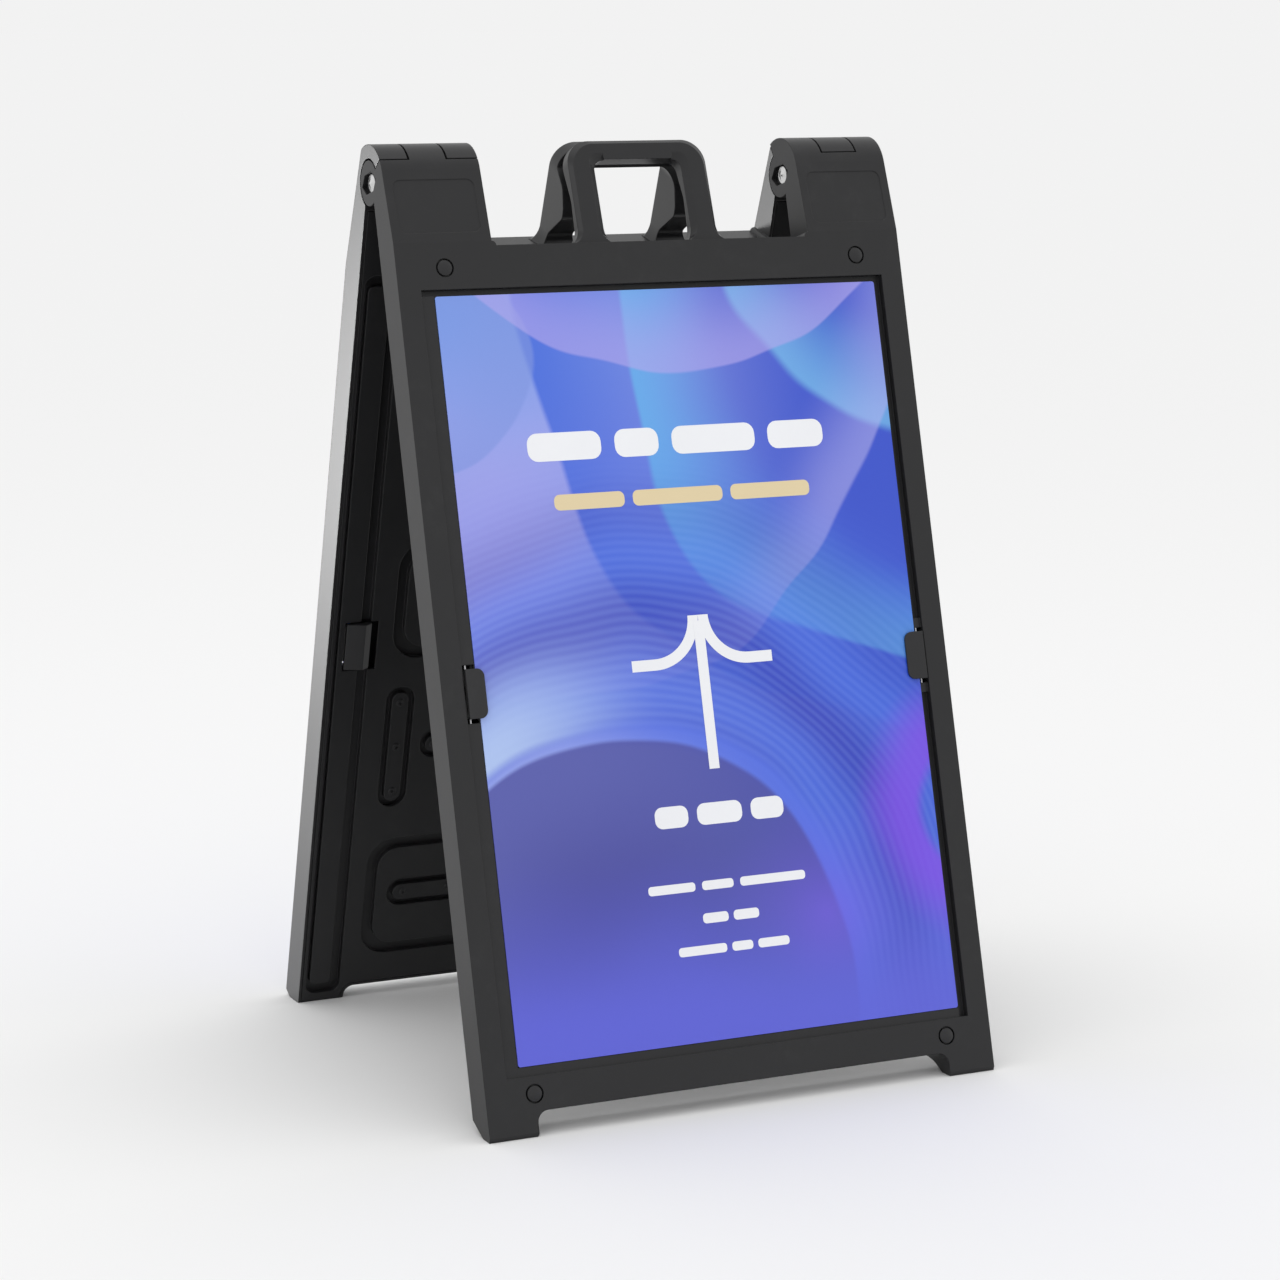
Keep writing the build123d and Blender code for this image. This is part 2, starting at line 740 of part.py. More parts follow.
def back_cover(panel):
    """The inner half of a panel: a plate with grooves that stiffen it."""
    inner = face_plane(panel, inner_p(panel))
    inside = face_plane(panel, inner_p(panel) - cover_thickness)
    post_length = panel_thickness - cover_thickness - boss_depth
    with BuildPart() as cover:
        with BuildSketch(inner):
            add(offset(panel_outline(panel), -wall - seam, kind=Kind.INTERSECTION,
                       mode=Mode.PRIVATE))
            for side in (-1, 1):
                start, stop = tower_ends(side)
                box(start + wall + seam, stop - wall - seam, rail_q - 2 * wall,
                    -tower_core - seam)
        extrude(amount=cover_thickness)
        with BuildSketch(inner):
            add(offset(groove_outlines(panel), cover_thickness, kind=Kind.INTERSECTION,
                       mode=Mode.PRIVATE))
        extrude(amount=groove_depth + cover_thickness)
        with BuildSketch(inner):
            add(groove_outlines(panel))
        extrude(amount=groove_depth, mode=Mode.SUBTRACT)
        for side in (-1, 1):
            with BuildSketch(inner):
                box(*key_window(panel, side))
            extrude(amount=groove_depth + cover_thickness, mode=Mode.SUBTRACT)
        with BuildSketch(inside):
            with Locations(plug_spots(panel)):
                Circle(post_radius)
        extrude(amount=post_length)
        with BuildSketch(face_plane(panel, -panel.offset)):
            with Locations(plug_spots(panel)):
                Circle(screw_radius + screw_thread_gap)
        extrude(amount=-(panel_thickness - cover_thickness), mode=Mode.SUBTRACT)
        with BuildSketch(inner):
            with Locations(stud_spots(panel)):
                Circle(stud_radius)
        extrude(amount=-stud_height)
        with BuildSketch(face_plane(panel, inner_p(panel) + stud_height)):
            with Locations(stud_spots(panel)):
                Circle(stud_dimple)
        extrude(amount=stud_height, mode=Mode.SUBTRACT)
        with BuildSketch(Plane.YZ.offset(-panel_width / 2 - overrun)):
            add(foot_cuts(panel))
        extrude(amount=panel_width + 2 * overrun, mode=Mode.SUBTRACT)
    return cover.part


# ---------------------------------------------------------------- handles
def handle_set(panel):
    return front_handle_set if panel is front else rear_handle_set


def tenon_places():
    middle = (handle_half_width + opening_half_width) / 2
    return (-middle, middle)


def tenon_p(panel):
    return -panel.offset + handle_set(panel) + tenon_set + tenon_depth / 2


def handle_plane(panel):
    """Plane of a handle's leaning face, with x across and y up from the top rail."""
    lean = radians(handle_lean)
    foot = side_plane(panel, 0).from_local_coords((-panel.offset + handle_set(panel), rail_q, 0))
    return Plane(origin=foot, x_dir=across(panel),
                 z_dir=outward(panel) * cos(lean) + upward(panel) * sin(lean))


def handle_outline(inset=0.0):
    """Front view of a handle without its opening, as if its edge were cut back by the inset."""
    half = handle_half_width - inset
    top = handle_rise - inset
    flare = handle_half_width + handle_flare
    with BuildSketch() as outline:
        with BuildLine():
            edge = ThreePointArc(
                (flare, 0),
                (half + handle_flare * flare_middle[0], handle_flare_height * flare_middle[1]),
                (half, handle_flare_height))
            Line(edge @ 1, (half, top - handle_corner))
            RadiusArc((half, top - handle_corner), (half - handle_corner, top), -handle_corner)
            Line((half - handle_corner, top), (0, top))
            mirror(about=Plane.YZ)
            Line((-flare, 0), (flare, 0))
        make_face()
    return outline.sketch


def opening_outline(grow=0.0):
    """Front view of the hand opening, grown outwards by a facet's width."""
    half = opening_half_width + grow
    top = handle_rise - grip_height + grow
    foot = opening_half_width - opening_flare
    with BuildSketch() as outline:
        with BuildLine():
            edge = ThreePointArc(
                (foot, 0),
                (foot + (half - foot) * opening_flare_middle[0],
                 handle_flare_height * opening_flare_middle[1]),
                (half, handle_flare_height + grow))
            Line(edge @ 1, (half, top - opening_corner))
            RadiusArc((half, top - opening_corner), (half - opening_corner, top),
                      -opening_corner)
            Line((half - opening_corner, top), (0, top))
            mirror(about=Plane.YZ)
            Line((-foot, 0), (foot, 0))
        make_face()
    return outline.sketch


def handle_back(panel):
    """Corners and radii of a handle's back, from its top down: p and q of each corner."""
    face = -panel.offset
    top_q = rail_q + handle_rise + handle_headroom
    if panel is front:
        corners = [(face + grip_back_high, top_q),
                   (face + grip_back_low[0], rail_q + grip_back_low[1]),
                   (face + handle_waist, rail_q + handle_waist_high),
                   (face + handle_waist, rail_q + handle_waist_low),
                   (face + handle_root_depth, rail_q)]
        return corners, front_back_radii
    # The rear legs bulge towards the front handle's waist and stop short of it when folded.
    bulge = front_offset - handle_waist - handle_fold_gap
    corners = [(face + rear_grip_back, top_q),
               (face + rear_grip_back, rail_q + rear_grip_low),
               (bulge - bulge_brow[0], rail_q + bulge_brow[1]),
               (bulge, rail_q + bulge_high),
               (bulge, rail_q + bulge_low),
               (face + rear_waist[0], rail_q + rear_waist[1]),
               (face + rear_root_depth, rail_q)]
    return corners, rear_back_radii


def handle_profile(panel):
    """Side view of a handle: p across and q up."""
    corners, radii = handle_back(panel)
    top_q = corners[0][1]
    face_low = (-panel.offset + handle_set(panel), rail_q)
    face_high = (face_low[0] + (top_q - rail_q) * tan(radians(handle_lean)), top_q)
    with BuildSketch() as profile:
        with BuildLine():
            Polyline(corners[-1], face_low, face_high, corners[0])
            FilletPolyline(*corners, radius=radii)
        make_face()
    return profile.sketch


def facet_cutter(panel):
    """Sloping cut round the hand opening's outer edge, left out along the plain grip."""
    plane = handle_plane(panel)
    with BuildPart() as cutter:
        with BuildSketch(plane):
            add(opening_outline(facet_width))
        with BuildSketch(plane.offset(-facet_depth)):
            add(opening_outline())
        loft()
        with BuildSketch(plane):
            with Locations((0, handle_rise)):
                Rectangle(2 * grip_plain, handle_rise)
        extrude(amount=-facet_depth, mode=Mode.SUBTRACT)
    return cutter.part


def handle(panel):
    plane = handle_plane(panel)
    far = 2 * panel_thickness
    with BuildPart() as loop:
        with BuildSketch(plane):
            add(handle_outline(handle_edge))
        with BuildSketch(plane.offset(-handle_edge)):
            add(handle_outline())
        loft()
        with BuildSketch(plane.offset(-handle_edge)):
            add(handle_outline())
        extrude(amount=-far)
        with BuildSketch(plane):
            add(opening_outline())
        extrude(amount=-far, mode=Mode.SUBTRACT)
        add(facet_cutter(panel), mode=Mode.SUBTRACT)
        with BuildSketch(side_plane(panel, 0)):
            add(handle_profile(panel))
        extrude(amount=panel_width, both=True, mode=Mode.INTERSECT)
        with BuildSketch(level_plane(panel, rail_q)):
            with Locations([(x, tenon_p(panel)) for x in tenon_places()]):
                Rectangle(tenon_length, tenon_depth)
        extrude(amount=-tenon_drop)
    return loop.part


# ---------------------------------------------------------------- sheet, plugs and screws
def sign_sheet(panel):
    left, right, bottom, top = sheet_box(panel)
    with BuildPart() as sheet:
        with BuildSketch(face_plane(panel, -panel.offset + sheet_inset)):
            with Locations(((left + right) / 2, (bottom + top) / 2)):
                RectangleRounded(sheet_width, sheet_height, sheet_corner)
        extrude(amount=-sheet_thickness)
    return sheet.part


def corner_plugs(panel):
    """Four domed buttons that hide the screws."""
    well = -panel.offset + plug_well_depth
    cap = plug_well_depth
    swell = (plug_radius ** 2 + plug_dome ** 2) / (2 * plug_dome)
    with BuildPart() as plugs:
        with BuildSketch(face_plane(panel, well)):
            with Locations(plug_spots(panel)):
                Circle(plug_radius)
        extrude(amount=cap)
        middle = face_plane(panel, well - cap + swell - plug_dome)
        with Locations(*[middle.from_local_coords((x, q, 0)) for x, q in plug_spots(panel)]):
            Sphere(swell)
        with BuildSketch(face_plane(panel, well)):
            with Locations(plug_spots(panel)):
                Circle(plug_radius)
        extrude(amount=cap + plug_dome + overrun, mode=Mode.INTERSECT)
    return plugs.part


def shell_screws(panel):
    """Four pan-head screws that pull the cover to the face shell."""
    seat = -panel.offset + plug_well_depth + screw_head_height
    with BuildPart() as screws:
        with BuildSketch(face_plane(panel, seat)):
            with Locations(plug_spots(panel)):
                Circle(screw_head_radius)
        extrude(amount=screw_head_height - screw_clearance)
        with BuildSketch(face_plane(panel, seat)):
            with Locations(plug_spots(panel)):
                Circle(screw_radius)
        extrude(amount=-(panel_thickness - plug_well_depth - screw_head_height
                         - cover_thickness - screw_end_gap))
    return screws.part


# ---------------------------------------------------------------- clips
def clip(panel, side):
    """A tab over the sheet, its barrel on the pin, and the lever and thumb key behind."""
    middle = clip_q(panel)
    low = middle - clip_length / 2
    pivot = (side * pivot_x, -panel.offset + pivot_depth)
    root = side * (recess_width / 2 - clip_root_gap)
    tip = side * (recess_width / 2 - clip_reach)
    under = -panel.offset + sheet_inset - clip_gap
    inner = inner_p(panel)
    with BuildPart() as tab:
        with BuildSketch(level_plane(panel, low)):
            with BuildLine():
                Polyline((root, under - tab_tip - clip_slope), (tip, under - tab_tip),
                         (tip, under), (root, under), close=True)
            make_face()
        extrude(amount=clip_length)
        with BuildSketch(face_plane(panel, -panel.offset - 2 * clip_slope)):
            ends = (root, tip)
            box(min(ends), max(ends), low, low + clip_length)
            tips = [v for v in vertices() if abs(v.X - tip) < near]
            fillet(tips, clip_corner)
        extrude(amount=-panel_thickness, mode=Mode.INTERSECT)
        with BuildSketch(level_plane(panel, low)):
            with BuildLine():
                Polyline((root, under), (side * (pivot_x - clip_barrel_radius), under),
                         (side * (pivot_x - clip_barrel_radius), pivot[1]),
                         (side * (pivot_x + clip_barrel_radius), pivot[1]),
                         (root, under + clip_heel), close=True)
            make_face()
            with Locations(pivot):
                Circle(clip_barrel_radius)
        extrude(amount=clip_length)
        with BuildSketch(level_plane(panel, low + lever_inset)):
            ends = (side * (pivot_x - lever_thickness / 2), side * (pivot_x + lever_thickness / 2))
            box(min(ends), max(ends), pivot[1], inner)
        extrude(amount=clip_length - 2 * lever_inset)
        with BuildSketch(level_plane(panel, low)):
            with Locations(pivot):
                Circle(pivot_radius + pivot_clearance)
        extrude(amount=clip_length, mode=Mode.SUBTRACT)
        with BuildSketch(level_plane(panel, middle - spring_pocket / 2)):
            with Locations(pivot):
                Circle(clip_barrel_radius + spring_pocket_gap)
        extrude(amount=spring_pocket, mode=Mode.SUBTRACT)
        # Thumb key, drawn across the panel and rounded towards the middle of the sign.
        with BuildSketch(level_plane(panel, middle + key_lift - key_length / 2)):
            with BuildLine():
                Polyline((side * key_outer, inner - cover_thickness),
                         (side * key_outer, inner + key_edge),
                         (side * key_peak, inner + key_rise),
                         (side * key_inner, inner + key_edge),
                         (side * key_inner, inner - cover_thickness), close=True)
            make_face()
        extrude(amount=key_length)
    return tab.part


def clip_pins(panel):
    with BuildPart() as pins:
        for side in (-1, 1):
            left, right, bottom, top = clip_window(panel, side)
            with BuildSketch(level_plane(panel, bottom - pin_overhang)):
                with Locations((side * pivot_x, -panel.offset + pivot_depth)):
                    Circle(pivot_radius)
            extrude(amount=top - bottom + 2 * pin_overhang)
    return pins.part


def clip_springs(panel):
    """A wound torsion spring round each pin, inside the clip's barrel."""
    reach = pivot_radius + spring_wire / 2 + pivot_clearance
    pitch = spring_length / spring_turns
    with BuildPart() as springs:
        for side in (-1, 1):
            base = level_plane(panel, clip_q(panel) - spring_length / 2)
            spot = base.from_local_coords((side * pivot_x, -panel.offset + pivot_depth, 0))
            with BuildLine():
                coil = Helix(pitch=pitch, height=spring_length, radius=reach, center=spot,
                             direction=upward(panel))
            with BuildSketch(Plane(origin=coil @ 0, z_dir=coil % 0)):
                Circle(spring_wire / 2)
            sweep(path=coil)
    return springs.part


# ---------------------------------------------------------------- hinge hardware
def bolt_run(tower):
    """Start and stop along X of a tower's bolt; towers are -1 on the left and 1 on the right."""
    left, right = (-panel_width / 2, -tower_inner) if tower < 0 else (tower_inner,
                                                                     panel_width / 2)
    return left + pocket_depth, right - pocket_depth


def axis_plane(x):
    return Plane(origin=(x, 0, axis_height), x_dir=(0, 1, 0), z_dir=(1, 0, 0))


def hinge_bolt(tower):
    start, stop = bolt_run(tower)
    swell = (bolt_head_radius ** 2 + bolt_head_dome ** 2) / (2 * bolt_head_dome)
    with BuildPart() as bolt:
        with BuildSketch(axis_plane(start)):
            Circle(bolt_radius)
        extrude(amount=stop - start + pocket_depth - bolt_end_gap)
        with BuildSketch(Plane(origin=(start, 0, axis_height), x_dir=(-1, 0, 0),
                               z_dir=(0, -1, 0))):
            with BuildLine():
                Polyline((bolt_head_rim, bolt_head_radius), (0, bolt_head_radius), (0, 0),
                         (bolt_head_rim + bolt_head_dome, 0))
                RadiusArc((bolt_head_rim + bolt_head_dome, 0),
                          (bolt_head_rim, bolt_head_radius), swell)
            make_face()
        revolve(axis=Axis((0, 0, axis_height), (1, 0, 0)))
    return bolt.part


def hinge_nut(tower):
    seat = bolt_run(tower)[1] + washer_gap + washer_thickness
    with BuildPart() as nut:
        with BuildSketch(axis_plane(seat)):
            RegularPolygon(nut_flats / 2, 6, major_radius=False)
            Circle(bolt_radius + nut_clearance, mode=Mode.SUBTRACT)
        extrude(amount=nut_height)
    return nut.part


def hinge_washer(tower):
    seat = bolt_run(tower)[1] + washer_gap
    with BuildPart() as washer:
        with BuildSketch(axis_plane(seat)):
            Circle(washer_radius)
            Circle(bolt_radius + washer_clearance, mode=Mode.SUBTRACT)
        extrude(amount=washer_thickness)
    return washer.part


# ---------------------------------------------------------------- everything
for panel in panels:
    save(face_shell(panel), f"{panel.name}_face_shell")
    save(back_cover(panel), f"{panel.name}_back_cover")
    save(handle(panel), f"{panel.name}_handle")
    save(sign_sheet(panel), f"{panel.name}_sign_sheet")
    save(corner_plugs(panel), f"{panel.name}_corner_plugs")
    save(shell_screws(panel), f"{panel.name}_shell_screws")
    save(clip(panel, -1), f"{panel.name}_left_clip")
    save(clip(panel, 1), f"{panel.name}_right_clip")
    save(clip_pins(panel), f"{panel.name}_clip_pins")
    save(clip_springs(panel), f"{panel.name}_clip_springs")

for tower, place in ((-1, "left"), (1, "right")):
    save(hinge_bolt(tower), f"{place}_hinge_bolt")
    save(hinge_nut(tower), f"{place}_hinge_nut")
    save(hinge_washer(tower), f"{place}_hinge_washer")
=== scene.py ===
"""Finishes, prints and stage for a folding A-frame pavement sign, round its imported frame."""
from math import pi, radians

import bmesh
import bpy
from bpy.props import FloatProperty, FloatVectorProperty, PointerProperty
from mathutils import Matrix, Vector


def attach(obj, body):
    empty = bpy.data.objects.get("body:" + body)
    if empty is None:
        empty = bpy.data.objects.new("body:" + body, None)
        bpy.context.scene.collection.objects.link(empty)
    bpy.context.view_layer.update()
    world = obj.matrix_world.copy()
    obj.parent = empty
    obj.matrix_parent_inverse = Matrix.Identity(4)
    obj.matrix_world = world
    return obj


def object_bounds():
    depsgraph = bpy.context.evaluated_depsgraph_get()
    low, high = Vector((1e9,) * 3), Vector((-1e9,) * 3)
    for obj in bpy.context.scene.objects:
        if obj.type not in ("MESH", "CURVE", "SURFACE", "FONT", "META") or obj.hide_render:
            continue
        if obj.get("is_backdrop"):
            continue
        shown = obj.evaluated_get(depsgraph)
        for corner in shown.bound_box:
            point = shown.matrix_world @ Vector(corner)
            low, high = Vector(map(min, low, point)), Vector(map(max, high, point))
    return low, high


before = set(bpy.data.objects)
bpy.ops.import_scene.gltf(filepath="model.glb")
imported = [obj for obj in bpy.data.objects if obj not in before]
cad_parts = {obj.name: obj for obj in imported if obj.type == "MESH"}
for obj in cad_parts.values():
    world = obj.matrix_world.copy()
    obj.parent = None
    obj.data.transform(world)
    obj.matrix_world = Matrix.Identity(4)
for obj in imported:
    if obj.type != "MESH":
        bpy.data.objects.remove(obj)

bl_info = {
    "name": "Pavement sign",
    "version": (1, 0, 0),
    "blender": (4, 5, 0),
    "location": "3D View > Sidebar > Sign",
    "description": "Moulded plastic, steel and printed finishes for a folding pavement sign",
    "category": "Object",
}

PANELS = ("front", "rear")
TOWERS = ("left", "right")
MILLIMETRE = 0.001
ARROW_TIP = 0.055        # arrow's point above the sheet's middle
BARB_STEPS = 18
BAR_ROUNDING = 0.38      # bar's corner radius, as a share of its thickness
BAR_CORNER_STEPS = 5
FLOOR_HALF = 600.0       # far enough for the floor's edge to meet the backdrop
FLOOR_GAP = 0.0002
PLASTIC_GLOSS = 0.32
EDGE_LIT = ("rear_face_shell", "rear_right_clip")


# ---------------------------------------------------------------- settings
class MouldingSettings(bpy.types.PropertyGroup):
    """Finish of the black moulded plastic."""
    colour: FloatVectorProperty(
        name="Colour", description="Plain colour of the moulded plastic",
        subtype="COLOR", default=(0.013, 0.013, 0.014), min=0, max=1)
    worn_colour: FloatVectorProperty(
        name="Dusty colour", description="Colour where fine dust greys the plastic",
        subtype="COLOR", default=(0.026, 0.026, 0.027), min=0, max=1)
    roughness: FloatProperty(
        name="Roughness", description="How dull the moulded skin is",
        subtype="FACTOR", default=0.4, min=0, max=1)
    grain: FloatProperty(
        name="Grain depth", description="Depth of the leathery mould grain",
        subtype="DISTANCE", unit="LENGTH", default=0.00012, min=0)
    edge: FloatProperty(
        name="Edge radius", description="Radius that the light sees on a moulded edge",
        subtype="DISTANCE", unit="LENGTH", default=0.0016, min=0)


class PrintSettings(bpy.types.PropertyGroup):
    """Sizes and colours of the print on both sheets."""
    film: FloatProperty(
        name="Film thickness", description="Thickness of the lettering film",
        subtype="DISTANCE", unit="LENGTH", default=0.00015, min=0)
    arrow_height: FloatProperty(
        name="Arrow height", description="From the foot of the stem to the point",
        subtype="DISTANCE", unit="LENGTH", default=0.186, min=0.02)
    arrow_stroke: FloatProperty(
        name="Arrow stroke", description="Width of the arrow's stem and barbs",
        subtype="DISTANCE", unit="LENGTH", default=0.0135, min=0.002)
    barb_radius: FloatProperty(
        name="Barb radius", description="Radius of the curved part of each barb",
        subtype="DISTANCE", unit="LENGTH", default=0.056, min=0.01)
    barb_tail: FloatProperty(
        name="Barb tail", description="Straight end of each barb",
        subtype="DISTANCE", unit="LENGTH", default=0.031, min=0)
    white: FloatVectorProperty(
        name="White film", description="Colour of the arrow and the large bars",
        subtype="COLOR", default=(0.86, 0.87, 0.9), min=0, max=1)
    gold: FloatVectorProperty(
        name="Gold film", description="Colour of the second line of bars",
        subtype="COLOR", default=(0.75, 0.62, 0.38), min=0, max=1)


class StageSettings(bpy.types.PropertyGroup):
    """Floor, lights and camera."""
    floor_colour: FloatVectorProperty(
        name="Floor", description="Colour of the plain floor",
        subtype="COLOR", default=(0.88, 0.88, 0.88), min=0, max=1)
    backdrop: FloatProperty(
        name="Backdrop", description="Brightness seen behind the floor's far edge",
        default=0.888, min=0)
    sky: FloatProperty(
        name="Room light", description="Even light from all round",
        default=1.01, min=0)
    camera_distance: FloatProperty(
        name="Camera distance", description="From the camera to the point it looks at",
        subtype="DISTANCE", unit="LENGTH", default=4.3715, min=0.5)
    azimuth: FloatProperty(
        name="Azimuth", description="Camera's turn round the sign",
        subtype="ANGLE", unit="ROTATION", default=radians(-25.311))
    elevation: FloatProperty(
        name="Elevation", description="Camera's height as an angle",
        subtype="ANGLE", unit="ROTATION", default=radians(10.025))
    lens: FloatProperty(
        name="Lens", description="Focal length in millimetres", default=97.67, min=10)


# ---------------------------------------------------------------- shader expressions
class Wire:
    """A node's output that can be used in sums, alone or with numbers."""

    def __init__(self, paint, socket):
        self.paint = paint
        self.socket = socket

    def maths(self, operation, *values):
        return self.paint.node("ShaderNodeMath", {"operation": operation},
                               dict(enumerate(values)))

    def __add__(self, other):
        return self.maths("ADD", self, other)

    def __radd__(self, other):
        return self.maths("ADD", other, self)

    def __sub__(self, other):
        return self.maths("SUBTRACT", self, other)

    def __rsub__(self, other):
        return self.maths("SUBTRACT", other, self)

    def __mul__(self, other):
        return self.maths("MULTIPLY", self, other)

    def __truediv__(self, other):
        return self.maths("DIVIDE", self, other)

    def root(self):
        return self.maths("SQRT", self)

    def sine(self):
        return self.maths("SINE", self)

    def rise(self, low, high):
        """0 below low, 1 above high and a smooth step between; falls where low is above high."""
        return self.paint.node(
            "ShaderNodeMapRange", {"interpolation_type": "SMOOTHSTEP"},
            {"Value": self, "From Min": low, "From Max": high})


class Paint:
    """A new material, built from nodes one call at a time."""

    def __init__(self, name):
        self.material = bpy.data.materials.new(name)
        self.material.use_nodes = True
        self.tree = self.material.node_tree
        self.tree.nodes.clear()

    def node(self, kind, settings=None, sockets=None, output=0):
        """Adds a node: its settings first, then its sockets' values or links."""
        made = self.tree.nodes.new(kind)
        for key, value in (settings or {}).items():
            if key == "stops":
                ramp = made.color_ramp
                while len(ramp.elements) < len(value):
                    ramp.elements.new(1.0)
                for element, (place, colour) in zip(ramp.elements, value):
                    element.position = place
                    element.color = colour
            else:
                setattr(made, key, value)
        for key, value in (sockets or {}).items():
            if isinstance(value, Wire):
                self.tree.links.new(value.socket, made.inputs[key])
            else:
                made.inputs[key].default_value = value
        return Wire(self, made.outputs[output]) if made.outputs else None

    def place(self):
        return self.node("ShaderNodeTexCoord", output="Object")

    def noise(self, place, scale, detail=2.0, roughness=0.5):
        return self.node("ShaderNodeTexNoise", {},
                         {"Vector": place, "Scale": scale, "Detail": detail,
                          "Roughness": roughness})

    def along(self, place, direction):
        """Distance of a place along a direction, as a number."""
        return self.node("ShaderNodeVectorMath", {"operation": "DOT_PRODUCT"},
                         {0: place, 1: tuple(direction)}, output="Value")

    def blend(self, factor, first, second):
        """Mixes two colours."""
        return self.node("ShaderNodeMix", {"data_type": "RGBA"},
                         {0: factor, 6: first, 7: second}, output=2)

    def rounded(self, radius):
        return self.node("ShaderNodeBevel", {"samples": 6}, {"Radius": radius})

    def bump(self, height, distance, strength=1.0, normal=None):
        sockets = {"Height": height, "Distance": distance, "Strength": strength}
        if normal is not None:
            sockets["Normal"] = normal
        return self.node("ShaderNodeBump", {}, sockets)

    def surface(self, **sockets):
        """Ends the material in a Principled shader; underscores in names stand for spaces."""
        shader = self.node("ShaderNodeBsdfPrincipled", {},
                           {key.replace("_", " "): value for key, value in sockets.items()})
        self.node("ShaderNodeOutputMaterial", {}, {"Surface": shader})
        return self.material


def opaque(colour):
    return (*colour, 1.0)


def printed(red, green, blue):
    """A colour given as it would be mixed on a screen, from 0 to 255."""
    return tuple((part / 255 + 0.055) ** 2.4 / 1.055 ** 2.4 if part > 10 else part / 3294.6
                 for part in (red, green, blue)) + (1.0,)


# ---------------------------------------------------------------- finishes
def moulded_plastic(name, settings, roughness_shift=0.0, lift=1.0):
    """Black polyethylene: a fine leathery grain, faint flow marks and a little dust."""
    paint = Paint(name)
    place = paint.place()
    grain = paint.noise(place, 900.0, 3.0, 0.6)
    pebble = paint.noise(place, 330.0, 2.0)
    flow = paint.noise(place, 5.0, 3.0, 0.6)
    dust = paint.noise(place, 38.0, 5.0, 0.7).rise(0.45, 0.8) * flow.rise(0.35, 0.75)
    dark = opaque([part * lift for part in settings.colour])
    pale = opaque([part * lift for part in settings.worn_colour])
    colour = paint.blend(dust * 0.55 + flow * 0.25, dark, pale)
    dullness = flow * 0.1 + grain * 0.1 + (settings.roughness + roughness_shift - 0.1)
    skin = paint.bump(grain * 0.65 + pebble * 0.35, settings.grain, 0.55,
                      paint.rounded(settings.edge))
    return paint.surface(Base_Color=colour, Roughness=dullness, Normal=skin,
                         Specular_IOR_Level=PLASTIC_GLOSS)


def plated_steel(name, tone, roughness, spangle):
    """Zinc plated steel, slightly mottled and brushed."""
    paint = Paint(name)
    place = paint.place()
    mottle = paint.noise(place, spangle, 4.0, 0.6)
    scratch = paint.noise(place, 2200.0, 1.0)
    colour = paint.blend(mottle, opaque([part * 0.72 for part in tone]), opaque(tone))
    return paint.surface(Base_Color=colour, Metallic=1.0,
                         Roughness=roughness - 0.08 + mottle * 0.12 + scratch * 0.06,
                         Normal=paint.bump(scratch, 0.00004, 0.4, paint.rounded(0.0005)))


def lettering_film(name, colour):
    """Thin self-adhesive film with a faint orange peel."""
    paint = Paint(name)
    place = paint.place()
    peel = paint.noise(place, 420.0, 2.0)
    tone = paint.blend(paint.noise(place, 9.0), opaque([part * 0.93 for part in colour]),
                       opaque(colour))
    return paint.surface(Base_Color=tone, Roughness=0.42 + peel * 0.08,
                         Normal=paint.bump(peel, 0.00003, 0.5))


